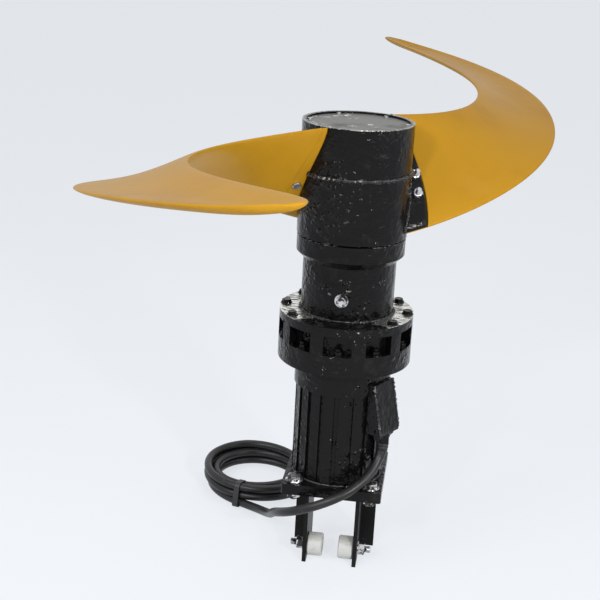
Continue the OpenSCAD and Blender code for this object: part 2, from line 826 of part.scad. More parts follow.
module stator_winding() {
    in_r = rotor_d / 2 + air_gap + winding_in;
    color(COPPER) for (z = [core_z - winding_h, core_z + core_h])
        translate([0, 0, z]) ring(in_r, casing_bore_r - winding_out, winding_h);
}

module rotor_core() {
    color(STEEL) translate([0, 0, core_z]) ring(motor_shaft_d / 2 + fit, rotor_d / 2, core_h);
}

module motor_shaft() {
    color(STEEL) {
        translate([0, 0, shaft_foot_z]) cylinder(r = m_neck_r, h = stage1_z - 3 - shaft_foot_z);
        translate([0, 0, shaft_foot_z]) cylinder(r = sun_bore_r, h = stage1_z + gear_w - shaft_foot_z);
        translate([0, 0, rear_bearing_z + motor_bearing_w + free]) cylinder(
            d = motor_shaft_d, h = front_bearing_z - rear_bearing_z - motor_bearing_w - 2 * free);
    }
}

module rear_bearing() {
    translate([0, 0, rear_bearing_z]) bearing(m_neck_r + run, m_bearing_r, motor_bearing_w);
}

// A square plate with rounded corners
module square_plate(w, t, corner) {
    linear_extrude(t) difference() {
        square(w, center = true);
        for (a = [0 : 90 : 270]) rotate(a) translate([w / 2 - corner, w / 2 - corner]) difference() {
            square(corner + cut);
            circle(r = corner);
        }
    }
}

module corner_places() {
    for (x = [-1, 1], y = [-1, 1]) translate([x, y, 0] * corner_pitch / 2) children();
}

// Square end cover with the rear bearing's seat and a spigot in the casing
module rear_cover() {
    color(BLACK) difference() {
        union() {
            translate([0, 0, rear_z]) square_plate(plate_w, rear_t, plate_corner);
            translate([0, 0, casing_z]) ring(casing_bore_r - spigot_w, casing_bore_r - fit, spigot_h);
            translate([0, 0, casing_z]) cylinder(r = m_bearing_r + boss_wall, h = rear_bearing_rise + motor_bearing_w);
        }
        translate([0, 0, rear_bearing_z]) cylinder(r = m_bearing_r + fit, h = 2 * motor_bearing_w);
        translate([0, 0, shaft_foot_z - 3]) cylinder(r = m_neck_r + 4, h = 2 * motor_bearing_w);
        corner_places() translate([0, 0, rear_z - cut])
            cylinder(d = corner_bolt_d + 2 * bolt_clear, h = rear_t + 2 * cut);
    }
}

module bracket_plate() {
    color(BLACK) translate([0, 0, plate_z]) difference() {
        square_plate(plate_w, plate_t, plate_corner);
        corner_places() translate([0, 0, -cut])
            cylinder(d = corner_bolt_d + 2 * bolt_clear, h = plate_t + 2 * cut);
    }
}

module corner_bolts() {
    color(STEEL) corner_places() translate([0, 0, casing_z])
        hex_bolt(corner_bolt_d, plate_t + rear_t + 1.1 * corner_bolt_d);
}

module corner_nuts() {
    color(STEEL) corner_places() translate([0, 0, plate_z]) mirror([0, 0, 1])
        hex_nut(corner_bolt_d, 0.8 * corner_bolt_d);
}

// Angle-steel leg: a web towards the rail and a flange along its back edge
module leg(side) {
    color(BLACK) difference() {
        linear_extrude(leg_h) polygon([
            for (p = [[0, 0], [leg_t, 0], [leg_t, leg_depth - leg_t], [leg_flange, leg_depth - leg_t],
                      [leg_flange, leg_depth], [0, leg_depth]])
            [side * (web_x + p[0]), p[1] - leg_front]
        ]);
        at_roller(side) translate([0, 0, -2 * leg_t])
            cylinder(d = roller_bolt_d + 2 * bolt_clear, h = 4 * leg_t);
    }
}

module leg_left() leg(-1);
module leg_right() leg(1);

// Puts its children on the roller axis at the web's inner face, with +z outwards
module at_roller(side) {
    translate([side * web_x, -roller_front, roller_z]) rotate([0, side * 90, 0]) children();
}

module roller(side) {
    chamfer = 2;
    color(WHITE) at_roller(side) translate([0, 0, -roller_gap - roller_w]) rotate_extrude() polygon([
        [roller_bolt_d / 2 + run, roller_sink], [roller_bolt_d + 1, roller_sink], [roller_bolt_d + 1, 0],
        [roller_d / 2 - chamfer, 0], [roller_d / 2, chamfer], [roller_d / 2, roller_w - chamfer],
        [roller_d / 2 - chamfer, roller_w], [roller_bolt_d / 2 + run, roller_w]
    ]);
}

module roller_left() roller(-1);
module roller_right() roller(1);

// Each bolt with its sunk head inside the roller and its nut outside the leg
module roller_bolts() {
    head_z = roller_sink - roller_w - 2 * roller_gap;
    color(STEEL) for (side = [-1, 1]) at_roller(side) {
        translate([0, 0, head_z - 8]) cylinder(d = 1.8 * roller_bolt_d, h = 8, $fn = 6);
        translate([0, 0, head_z - 4]) cylinder(d = roller_bolt_d, h = leg_t + nut_h + 12 - head_z);
        translate([0, 0, leg_t]) cylinder(d = 2.1 * roller_bolt_d, h = 2.5);
        translate([0, 0, leg_t]) cylinder(d = 1.8 * roller_bolt_d, h = 2.5 + nut_h, $fn = 6);
    }
}

module at_entry() {
    rotate(entry_angle) children();
}

// Wedge-shaped housing that brings the cable in from below
module cable_entry() {
    foot = entry_foot_z;
    color(BLACK) difference() {
        at_entry() translate([0, entry_w / 2, 0]) rotate([90, 0, 0]) linear_extrude(entry_w) polygon([
            [core_r, foot], [casing_r + entry_reach, foot], [casing_r + entry_reach, foot + entry_lip],
            [entry_top_r, foot + entry_h], [core_r, foot + entry_h]
        ]);
        translate([0, 0, foot - cut]) cylinder(r = rib_corner_r + fit, h = entry_h + 2 * cut);
        translate([0, 0, collar_z]) cylinder(d = collar_d + 2 * fit, h = collar_h);
        at_entry() translate([gland_r, 0, foot - cut]) cylinder(d = cable_d + 2, h = entry_bore_h);
        gland_bolt_places() translate([0, 0, foot]) cylinder(d = gland_bolt_d + 2 * fit, h = 14);
    }
}

module gland_bolt_places() {
    at_entry() for (y = [-1, 1]) translate([gland_r, y * gland_ear_pitch / 2, 0]) children();
}

// Gland with an oval flange, a hexagon below it and a screw in each ear
module cable_gland() {
    flange_z = gland_z + gland_nut_h;
    color(BLACK) union() {
        at_entry() translate([gland_r, 0, 0]) {
            translate([0, 0, flange_z]) cylinder(r = gland_flange_r, h = gland_flange_t);
            translate([-gland_ear_r, -gland_ear_pitch / 2, flange_z])
                cube([2 * gland_ear_r, gland_ear_pitch, gland_flange_t]);
            translate([0, 0, gland_z]) cylinder(r = gland_nut_r, h = gland_nut_h + cut, $fn = 6);
        }
        gland_bolt_places() {
            translate([0, 0, flange_z]) cylinder(r = gland_ear_r, h = gland_flange_t);
            translate([0, 0, flange_z + gland_flange_t]) mirror([0, 0, 1])
                translate([0, 0, gland_flange_t]) hex_bolt(gland_bolt_d, gland_flange_t + 12);
        }
    }
}

// Frame of the lead's cross-section at point i of its route
function unit(v) = v / norm(v);
function heading(p, i) = unit(p[min(i + 1, len(p) - 1)] - p[max(i - 1, 0)]);
function lead_ring(p, i) =
    let (t = i == 0 ? [0, 0, -1] : heading(p, i), a = unit(cross(t, [0.3, 0.9, 0.1])), b = cross(t, a))
    [for (k = [0 : lead_sides - 1])
        let (w = 360 * k / lead_sides) p[i] + cable_d / 2 * (a * cos(w) + b * sin(w))];

module cable_lead() {
    n = lead_sides;
    last = len(lead_route) - 1;
    walls = [for (i = [0 : last - 1], k = [0 : n - 1])
        let (a = i * n + k, b = i * n + (k + 1) % n)
        each [[a, a + n, b + n], [a, b + n, b]]];
    color(RUBBER) polyhedron(
        points = [for (i = [0 : last]) each lead_ring(lead_route, i)],
        faces = concat(walls, [[for (k = [0 : n - 1]) k]], [[for (k = [n - 1 : -1 : 0]) last * n + k]]),
        convexity = 8);
}

// Outline of the coil's bundle, grown by an offset
function bundle(grow) =
    [for (a = [0 : 30 : 330])
        [coil_r + (coil_w / 2 + grow) * sign(cos(a)) * pow(abs(cos(a)), 0.8),
         coil_h / 2 + (coil_h / 2 + grow) * sign(sin(a)) * pow(abs(sin(a)), 0.8)]];

module cable_coil() {
    color(RUBBER) translate([coil_pos[0], coil_pos[1], coil_z]) rotate_extrude() polygon(bundle(0));
}

module coil_tie() {
    color(BLACK) translate([coil_pos[0], coil_pos[1], coil_z]) difference() {
        rotate(tie_angle - tie_span / 2) rotate_extrude(angle = tie_span) polygon(bundle(tie_t));
        rotate_extrude() polygon(bundle(free / 2));
    }
}

hub_shell();
hub_cover();
cover_screws();
blade(0);  // blade_1
blade(1);  // blade_2
blade_root(0);  // blade_root_1
blade_root(1);  // blade_root_2
root_bolts();
root_nuts();
propeller_shaft();
shaft_key();
shaft_washer();
shaft_bolt();
seal_head();
carrier_2();
seal_housing();
seal_seat();
upper_bearing();
lower_bearing();
gearbox_housing();
oil_plug();
ring_gear_1();
ring_gear_2();
sun_gear_1();
sun_gear_2();
carrier_1();
planet_1a();
planet_1b();
planet_1c();
planet_2a();
planet_2b();
planet_2c();
gearbox_bolts();
lantern_ring();
seal_plate();
shaft_seal();
motor_bolts();
motor_nuts();
motor_casing();
end_shield();
front_bearing();
stator_core();
stator_winding();
rotor_core();
motor_shaft();
rear_bearing();
rear_cover();
bracket_plate();
corner_bolts();
corner_nuts();
leg_left();
leg_right();
roller_left();
roller_right();
roller_bolts();
cable_entry();
cable_gland();
cable_lead();
cable_coil();
coil_tie();
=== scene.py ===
"""Looks of a submersible flow mixer that stands on its guide bracket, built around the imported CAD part."""

import json
import math

import bmesh
import bpy
import numpy as np
from mathutils import Matrix, Vector


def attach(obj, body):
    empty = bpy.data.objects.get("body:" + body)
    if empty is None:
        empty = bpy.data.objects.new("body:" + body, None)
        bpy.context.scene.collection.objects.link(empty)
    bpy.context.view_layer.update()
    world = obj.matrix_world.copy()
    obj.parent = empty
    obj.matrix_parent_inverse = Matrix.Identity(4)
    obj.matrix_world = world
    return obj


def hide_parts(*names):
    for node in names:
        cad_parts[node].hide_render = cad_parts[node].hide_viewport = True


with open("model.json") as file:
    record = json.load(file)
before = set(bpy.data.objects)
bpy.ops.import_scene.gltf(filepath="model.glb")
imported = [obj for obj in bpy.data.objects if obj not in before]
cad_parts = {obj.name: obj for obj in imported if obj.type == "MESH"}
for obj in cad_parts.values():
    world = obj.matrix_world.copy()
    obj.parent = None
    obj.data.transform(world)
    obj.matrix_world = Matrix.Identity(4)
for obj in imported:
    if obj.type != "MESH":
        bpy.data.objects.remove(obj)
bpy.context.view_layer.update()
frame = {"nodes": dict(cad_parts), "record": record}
scene = bpy.context.scene
nodes = frame["nodes"]

# Sizes of the part from the floor up, lengths in metres; a seam's end is (distance from the axis, height)
ROLLER_Y, ROLLER_Z = -0.020, 0.030
ROLLER_HEAD_X, LEG_SIDE_X = 0.0265, 0.055
PLATE_FOOT, CASING_FOOT, CORNER_BOLT = 0.175, 0.197, 0.075
CASING_R, COLLAR_R, COLLAR_TOP = 0.090, 0.094, 0.440
ENTRY_ANGLE, ENTRY_SIDE = math.radians(329), 0.031
ENTRY_SEAM_TOP, ENTRY_SEAM_FOOT = (0.0985, 0.409), (0.1195, 0.317)
LANTERN_BASE, FLANGE_TOP, NECK_R = 0.481, 0.536, 0.089
FLANGE_BOLT_R, FLANGE_N, FLANGE_PHASE = 0.1175, 10, 35
HUB_R, HUB_Z, HUB_H, HUB_SEAM = 0.104, 0.688, 0.212, 0.808
TIP_R = 0.900
SPAN = TIP_R - HUB_R


# Camera, light and floor

CAMERA_PLACE = (0.1811, -2.2505, 1.2939)
CAMERA_AIM = Vector((-0.11411, 0.94243, -0.31435))
CAMERA_LEAN = math.radians(3)
CAMERA_LENS, CAMERA_SENSOR = 74.03, 36
SOFT_WHITE = (0.93, 0.96, 1.0, 1)
FLOOR_HALF, FLOOR_GLOW = 40, 0.72


def make_camera():
    forward = CAMERA_AIM.normalized()
    right = forward.cross(Vector((0, 0, 1))).normalized()
    up = right.cross(forward)
    x = right * math.cos(CAMERA_LEAN) + up * math.sin(CAMERA_LEAN)
    y = up * math.cos(CAMERA_LEAN) - right * math.sin(CAMERA_LEAN)
    data = bpy.data.cameras.new("photo_camera")
    data.lens, data.sensor_width = CAMERA_LENS, CAMERA_SENSOR
    camera = bpy.data.objects.new("photo_camera", data)
    camera.matrix_world = Matrix((x, y, -forward)).transposed().to_4x4()
    camera.location = CAMERA_PLACE
    scene.collection.objects.link(camera)
    scene.camera = camera


def seen_directly(tree):
    """1 for rays from the camera and for those that a glossy or clear surface sends on."""
    path = tree.nodes.new("ShaderNodeLightPath")
    total = path.outputs["Is Camera Ray"]
    for name in ("Is Glossy Ray", "Is Transmission Ray"):
        total = math_node(tree, "MAXIMUM", total, path.outputs[name])
    return total


def mix_shaders(tree, mask, first, second, out):
    mix = tree.nodes.new("ShaderNodeMixShader")
    tree.links.new(mask, mix.inputs["Fac"])
    tree.links.new(first.outputs[0], mix.inputs[1])
    tree.links.new(second.outputs[0], mix.inputs[2])
    tree.links.new(mix.outputs[0], out.inputs["Surface"])


def make_world():
    world = bpy.data.worlds.new("studio")
    world.use_nodes = True
    scene.world = world
    tree = world.node_tree
    tree.nodes.clear()
    soft = tree.nodes.new("ShaderNodeBackground")
    soft.inputs["Color"].default_value = SOFT_WHITE
    soft.inputs["Strength"].default_value = 0.42
    white = tree.nodes.new("ShaderNodeBackground")
    white.inputs["Color"].default_value = (0.96, 0.98, 1.0, 1)
    white.inputs["Strength"].default_value = 1.0
    mix_shaders(tree, seen_directly(tree), soft, white, tree.nodes.new("ShaderNodeOutputWorld"))


def softbox(name, place, target, width, height, watts):
    data = bpy.data.lights.new(name, "AREA")
    data.shape, data.size, data.size_y, data.energy = "RECTANGLE", width, height, watts
    lamp = bpy.data.objects.new(name, data)
    lamp.location = place
    lamp.rotation_euler = (Vector(target) - Vector(place)).to_track_quat("-Z", "Y").to_euler()
    scene.collection.objects.link(lamp)


def make_floor():
    bm = bmesh.new()
    bmesh.ops.create_grid(bm, x_segments=1, y_segments=1, size=FLOOR_HALF)
    mesh = bpy.data.meshes.new("floor")
    bm.to_mesh(mesh)
    bm.free()
    floor = bpy.data.objects.new("floor", mesh)
    scene.collection.objects.link(floor)
    material = bpy.data.materials.new("pale_floor")
    material.use_nodes = True
    tree = material.node_tree
    body = tree.nodes["Principled BSDF"]
    body.inputs["Base Color"].default_value = (0.72, 0.74, 0.77, 1)
    body.inputs["Roughness"].default_value = 0.8
    body.inputs["Specular IOR Level"].default_value = 0.1
    glow = tree.nodes.new("ShaderNodeEmission")
    glow.inputs["Color"].default_value = SOFT_WHITE
    share = math_node(tree, "MULTIPLY", seen_directly(tree), FLOOR_GLOW)
    mix_shaders(tree, share, body, glow, tree.nodes["Material Output"])
    mesh.materials.append(material)


# Shader groups

def new_group(name, inputs, outputs):
    group = bpy.data.node_groups.new(name, "ShaderNodeTree")
    for label, value in inputs:
        socket = group.interface.new_socket(label, in_out="INPUT", socket_type="NodeSocketFloat")
        socket.default_value = value
    for label in outputs:
        group.interface.new_socket(label, in_out="OUTPUT", socket_type="NodeSocketFloat")
    return group, group.nodes.new("NodeGroupInput"), group.nodes.new("NodeGroupOutput")


def feed(tree, socket, value):
    """Sets a socket to a number, or links another socket to it."""
    if isinstance(value, (int, float)):
        socket.default_value = value
    else:
        tree.links.new(value, socket)


def noise(tree, vector, scale, detail=3.0, rough=0.55):
    node = tree.nodes.new("ShaderNodeTexNoise")
    for key, value in (("Vector", vector), ("Scale", scale), ("Detail", detail), ("Roughness", rough)):
        feed(tree, node.inputs[key], value)
    return node.outputs["Fac"]


def map_range(tree, value, low, high, to_low=0.0, to_high=1.0):
    node = tree.nodes.new("ShaderNodeMapRange")
    node.interpolation_type = "SMOOTHSTEP"
    for key, number in (("From Min", low), ("From Max", high), ("To Min", to_low), ("To Max", to_high)):
        feed(tree, node.inputs[key], number)
    tree.links.new(value, node.inputs["Value"])
    return node.outputs[0]


def math_node(tree, operation, *values):
    node = tree.nodes.new("ShaderNodeMath")
    node.operation = operation
    for socket, value in zip(node.inputs, values):
        feed(tree, socket, value)
    return node.outputs[0]


def lumps_group():
    """Thick brushed paint: runs, an orange skin, drops, and pale specks that are partly chipped paint and
    partly painted glints.
    """
    group, inp, out = new_group("paint_lumps", [("Drops", 0.5), ("Flecks", 0.66)], ["Height", "Fleck"])
    place = group.nodes.new("ShaderNodeTexCoord").outputs["Object"]
    runs = noise(group, place, 46.0, 2.0)
    skin = math_node(group, "MULTIPLY", noise(group, place, 210.0, 2.0), 0.22)
    cells = group.nodes.new("ShaderNodeTexVoronoi")
    cells.feature = "SMOOTH_F1"
    cells.inputs["Scale"].default_value = 110.0
    group.links.new(place, cells.inputs["Vector"])
    drop = map_range(group, cells.outputs["Distance"], 0.0, 0.5, 1.0, 0.0)
    patch = map_range(group, noise(group, place, 13.0, 2.0), 0.50, 0.62)
    drops = math_node(group, "MULTIPLY", math_node(group, "MULTIPLY", drop, patch), inp.outputs["Drops"])
    height = math_node(group, "ADD", math_node(group, "ADD", runs, skin), drops)
    group.links.new(height, out.inputs["Height"])
    # Pale specks: partly chipped paint, partly painted glints.
    top = math_node(group, "ADD", inp.outputs["Flecks"], 0.05)
    chip_glint = map_range(group, noise(group, place, 130.0, 3.0, 0.6), inp.outputs["Flecks"], top)
    group.links.new(math_node(group, "MULTIPLY", chip_glint, patch), out.inputs["Fleck"])
    return group


def grime_group():
    """Patches of dust or wear, from soft to crisp."""
    inputs = [("Scale", 20.0), ("Level", 0.55), ("Soft", 0.12)]
    group, inp, out = new_group("grime_patches", inputs, ["Mask"])
    place = group.nodes.new("ShaderNodeTexCoord").outputs["Object"]
    patch = noise(group, place, inp.outputs["Scale"], 6.0, 0.65)
    top = math_node(group, "ADD", inp.outputs["Level"], inp.outputs["Soft"])
    group.links.new(map_range(group, patch, inp.outputs["Level"], top), out.inputs["Mask"])
    return group


LUMPS, GRIME = lumps_group(), grime_group()


# Materials

class Finish:
    """A material with one Principled shader, and short ways to wire masks into it."""

    def __init__(self, name, color, rough, metal=0.0, specular=0.5):
        self.material = bpy.data.materials.new(name)
        self.material.use_nodes = True
        self.tree = self.material.node_tree
        self.shader = self.tree.nodes["Principled BSDF"]
        self.shader.inputs["Base Color"].default_value = (*color, 1)
        self.shader.inputs["Roughness"].default_value = rough
        self.shader.inputs["Metallic"].default_value = metal
        self.shader.inputs["Specular IOR Level"].default_value = specular
        self.color, self.rough = (*color, 1), rough
        self.color_link, self.rough_link = None, None

    def group(self, group, **values):
        node = self.tree.nodes.new("ShaderNodeGroup")
        node.node_tree = group
        for key, value in values.items():
            node.inputs[key].default_value = value
        return node

    def object_coords(self, stretch=(1, 1, 1), turn=(0, 0, 0), shift=(0, 0, 0)):
        coords = self.tree.nodes.new("ShaderNodeTexCoord")
        mapping = self.tree.nodes.new("ShaderNodeMapping")
        mapping.inputs["Scale"].default_value = stretch
        mapping.inputs["Rotation"].default_value = turn
        mapping.inputs["Location"].default_value = shift
        self.tree.links.new(coords.outputs["Object"], mapping.inputs["Vector"])
        return mapping.outputs["Vector"]

    def noise(self, scale, detail=3.0, rough=0.55, **where):
        return noise(self.tree, self.object_coords(**where), scale, detail, rough)

    def tint(self, mask, color):
        """Mixes another colour in where the mask is 1."""
        mix = self.tree.nodes.new("ShaderNodeMix")
        mix.data_type = "RGBA"
        mix.inputs["A"].default_value = self.color
        if self.color_link:
            self.tree.links.new(self.color_link, mix.inputs["A"])
        mix.inputs["B"].default_value = (*color, 1)
        self.tree.links.new(mask, mix.inputs["Factor"])
        self.color_link = mix.outputs["Result"]
        self.tree.links.new(self.color_link, self.shader.inputs["Base Color"])

    def roughen(self, mask, rough):
        """Changes the roughness where the mask is 1."""
        mix = self.tree.nodes.new("ShaderNodeMix")
        mix.inputs["A"].default_value = self.rough
        if self.rough_link:
            self.tree.links.new(self.rough_link, mix.inputs["A"])
        mix.inputs["B"].default_value = rough
        self.tree.links.new(mask, mix.inputs["Factor"])
        self.rough_link = mix.outputs["Result"]
        self.tree.links.new(self.rough_link, self.shader.inputs["Roughness"])

    def bump(self, height, depth, strength=1.0):
        node = self.tree.nodes.new("ShaderNodeBump")
        node.inputs["Strength"].default_value = strength
        node.inputs["Distance"].default_value = depth
        self.tree.links.new(height, node.inputs["Height"])
        self.tree.links.new(node.outputs["Normal"], self.shader.inputs["Normal"])


def black_paint(name, depth=0.0032, drops=0.8, chip_glint_level=0.68, rough=0.11, specular=0.17):
    paint = Finish(name, (0.0036, 0.0034, 0.0035), rough, specular=specular)
    lumps = paint.group(LUMPS, Drops=drops, Flecks=chip_glint_level)
    worn = paint.group(GRIME, Scale=24.0, Level=0.56, Soft=0.16)
    paint.tint(worn.outputs["Mask"], (0.010, 0.009, 0.0088))
    # Pale specks here are partly chipped paint and partly painted glints.
    paint.tint(lumps.outputs["Fleck"], (0.24, 0.24, 0.235))
    paint.roughen(worn.outputs["Mask"], rough + 0.16)
    paint.bump(lumps.outputs["Height"], depth)
    return paint


def level_face(finish, level, reach, inner, flank=-0.2):
    """1 close to a level and outside a radius, out to the left and right of a ragged flank."""
    tree = finish.tree
    split = tree.nodes.new("ShaderNodeSeparateXYZ")
    tree.links.new(finish.object_coords(), split.inputs[0])
    x, y, z = split.outputs
    square = math_node(tree, "ADD", math_node(tree, "MULTIPLY", x, x), math_node(tree, "MULTIPLY", y, y))
    radius = math_node(tree, "SQRT", square)
    over = math_node(tree, "GREATER_THAN", z, level - reach)
    under = math_node(tree, "LESS_THAN", z, level + reach)
    outside = math_node(tree, "GREATER_THAN", radius, inner)
    face = math_node(tree, "MULTIPLY", math_node(tree, "MULTIPLY", over, under), outside)
    aside = math_node(tree, "DIVIDE", math_node(tree, "ABSOLUTE", x), radius)
    ragged = math_node(tree, "MULTIPLY", finish.noise(55.0), 0.3)
    aside = math_node(tree, "ADD", aside, ragged)
    return math_node(tree, "MULTIPLY", face, map_range(tree, aside, flank + 0.10, flank + 0.16))


def painted_reflection_face(paint, mask, color, rough, streaks):
    """Pale metal painted on one face as a painted reflection of the bright surroundings, streaked with
    black.
    """
    tree = paint.tree
    streak = paint.noise(streaks, 4.0, 0.6, stretch=(0.35, 2.2, 1), turn=(0, 0, 0.6))
    free = math_node(tree, "SUBTRACT", 1.0, map_range(tree, streak, 0.50, 0.58))
    # Painted reflection: the pale colour and metal stand in for the light this face reflects.
    reflection_mask = math_node(tree, "MULTIPLY", mask, free)
    paint.tint(reflection_mask, color)
    paint.roughen(reflection_mask, rough)
    tree.links.new(reflection_mask, paint.shader.inputs["Metallic"])


def gearbox_paint():
    paint = black_paint("gearbox_paint", drops=1.0, chip_glint_level=0.645)
    # Painted reflection: the flange's top face is painted pale metal on its left and right sides.
    flange = level_face(paint, FLANGE_TOP, 0.0008, NECK_R + 0.0004, flank=0.66)
    painted_reflection_face(paint, flange, (0.80, 0.79, 0.74), 0.24, 95.0)
    return paint


def hub_paint():
    paint = black_paint("hub_paint", chip_glint_level=0.72)
    # Painted reflection: the hub's top rim is painted as a pale metal ring.
    rim = level_face(paint, HUB_Z + HUB_H, 0.0012, HUB_R - 0.0038)
    painted_reflection_face(paint, rim, (0.36, 0.35, 0.32), 0.35, 160.0)
    return paint


def ochre_urethane():
    blade = Finish("ochre_urethane", (0.405, 0.206, 0.012), 0.38, specular=0.03)
    blade.shader.inputs["Coat Weight"].default_value = 0.1
    blade.shader.inputs["Coat Roughness"].default_value = 0.1
    cloud = blade.group(GRIME, Scale=5.0, Level=0.42, Soft=0.3)
    blade.tint(cloud.outputs["Mask"], (0.36, 0.175, 0.009))
    rub = blade.group(GRIME, Scale=60.0, Level=0.62, Soft=0.1)
    blade.roughen(rub.outputs["Mask"], 0.5)
    blade.bump(blade.noise(34.0, 2.0), 0.0009, 0.5)
    return blade


def plain_metal(name, color, rough, scale, metal=1.0):
    steel = Finish(name, color, rough, metal=metal)
    mottle = steel.group(GRIME, Scale=scale, Level=0.5, Soft=0.2)
    steel.tint(mottle.outputs["Mask"], tuple(c * 0.62 for c in color))
    steel.roughen(mottle.outputs["Mask"], rough + 0.2)
    steel.bump(steel.noise(scale * 8), 0.0002, 0.5)
    return steel


def cover_with_painted_reflection():
    """Grey sheet with pale patches painted on one part of it as a painted reflection."""
    cover = plain_metal("cover_grey", (0.10, 0.098, 0.087), 0.45, 18.0, metal=0.0)
    # Painted reflection: pale patches on one part of the cover.
    reflection_patches = cover.group(GRIME, Scale=46.0, Level=0.56, Soft=0.05)
    reflection_zone = map_range(cover.tree, cover.noise(9.0, 1.0, shift=(0.07, 0.02, 0)), 0.48, 0.62)
    cover.tint(math_node(cover.tree, "MULTIPLY", reflection_patches.outputs["Mask"], reflection_zone), (0.82, 0.81, 0.77))
    return cover


def splashed_steel():
    """Bright steel with black paint run over it."""
    steel = plain_metal("splashed_steel", (0.62, 0.62, 0.63), 0.25, 60.0)
    splash = steel.group(GRIME, Scale=70.0, Level=0.47, Soft=0.05)
    steel.tint(splash.outputs["Mask"], (0.008, 0.008, 0.008))
    bright = math_node(steel.tree, "SUBTRACT", 1.0, splash.outputs["Mask"])
    steel.tree.links.new(bright, steel.shader.inputs["Metallic"])
    return steel


def cable_sheath():
    rubber = Finish("cable_sheath", (0.010, 0.010, 0.0105), 0.36, specular=0.34)
    dust = rubber.group(GRIME, Scale=38.0, Level=0.52, Soft=0.2)
    rubber.tint(dust.outputs["Mask"], (0.023, 0.0225, 0.022))
    rubber.roughen(dust.outputs["Mask"], 0.52)
    rubber.bump(rubber.noise(420.0), 0.0002, 0.6)
    return rubber


def white_nylon():
    nylon = Finish("white_nylon", (0.49, 0.49, 0.47), 0.42)
    smudge = nylon.group(GRIME, Scale=46.0, Level=0.55, Soft=0.22)
    nylon.tint(smudge.outputs["Mask"], (0.36, 0.353, 0.325))
    nylon.bump(nylon.noise(300.0), 0.0002, 0.5)
    return nylon


PAINT = black_paint("black_paint").material
WELD = black_paint("weld_paint", depth=0.0014, drops=0.3, chip_glint_level=0.57, specular=0.5).material
GEARBOX = gearbox_paint().material
HUB = hub_paint().material
LEG_PAINT = black_paint("leg_paint", depth=0.0006, drops=0.2, chip_glint_level=0.72, rough=0.42).material
OCHRE = ochre_urethane().material
COVER = cover_with_painted_reflection().material
BOLT_STEEL = plain_metal("bolt_steel", (0.55, 0.55, 0.57), 0.28, 60.0).material
SPLASHED = splashed_steel().material
SHAFT_STEEL = plain_metal("shaft_steel", (0.60, 0.60, 0.62), 0.3, 40.0).material
CAST_IRON = plain_metal("cast_iron", (0.22, 0.22, 0.22), 0.55, 70.0, metal=0.6).material
SEAL_RING = plain_metal("seal_ring", (0.10, 0.10, 0.11), 0.18, 90.0, metal=0.2).material
COPPER = plain_metal("winding_copper", (0.60, 0.27, 0.10), 0.35, 120.0).material
RUBBER = cable_sheath().material
NYLON = white_nylon().material
STRAP = plain_metal("strap_plastic", (0.014, 0.014, 0.015), 0.45, 80.0, metal=0.0).material

SLOT_FINISH = {
    "black_paint": PAINT, "blade_urethane": OCHRE, "cover_grey": COVER, "bolt_steel": BOLT_STEEL,
    "shaft_steel": SHAFT_STEEL, "cast_iron": CAST_IRON, "seal_ring": SEAL_RING, "seal_rubber": RUBBER,
    "copper": COPPER, "nylon": NYLON, "cable_sheath": RUBBER, "tie_plastic": STRAP,
}
NODE_FINISH = {
    "gearbox_housing": GEARBOX, "hub_shell": HUB, "leg_left": LEG_PAINT, "leg_right": LEG_PAINT,
    "oil_plug": SPLASHED,
}
SLOT_OF = {part["node"]: part["material_slot"] for part in frame["record"]["subparts"]}


def dress_nodes():
    for name, obj in nodes.items():
        finish = NODE_FINISH.get(name) or SLOT_FINISH[SLOT_OF[name]]
        obj.data.materials.clear()
        obj.data.materials.append(finish)


# Meshes

def add_mesh(name, points, faces, material, body):
    mesh = bpy.data.meshes.new(name)
    mesh.from_pydata([tuple(p) for p in points], [], [tuple(f) for f in faces])
    mesh.materials.append(material)
    mesh.shade_smooth()
    mesh.update()
    piece = bpy.data.objects.new(name, mesh)
    scene.collection.objects.link(piece)
    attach(piece, body)
    return piece


def loft(rows):
    """Quads between closed rows of points, with a fan over each end."""
    count, k = rows.shape[0], rows.shape[1]
    points = [*rows.reshape(-1, 3), rows[0].mean(0), rows[-1].mean(0)]
    faces = []
    for i in range(count - 1):
        for j in range(k):
            a, b = i * k + j, i * k + (j + 1) % k
            faces.append((a, b, b + k, a + k))
    first, last, end = count * k, count * k + 1, (count - 1) * k
    for j in range(k):
        faces.append((j, first, (j + 1) % k))
        faces.append((end + j, end + (j + 1) % k, last))
    return points, faces


def tube(route, radii, sides):
    """Rows of points round a route, with a fan over each end."""
    ahead = np.gradient(route, axis=0)
    ahead /= np.linalg.norm(ahead, axis=1)[:, None]
    any_way = (0.3, 0.9, 0.2)
    across = np.cross(ahead[0], any_way)
    angle = 2 * np.pi * np.arange(sides)[:, None] / sides
    rows = []
    for p, d, r in zip(route, ahead, radii):
        across = across - d * np.dot(across, d)
        across /= np.linalg.norm(across)
        rows.append(p + r * (np.cos(angle) * across + np.sin(angle) * np.cross(d, across)))
    return loft(np.array(rows))


# The blade's laws: x runs from 0 at the hub to 1 at the tip,
# u from -1 at the lower edge to 1 at the upper one

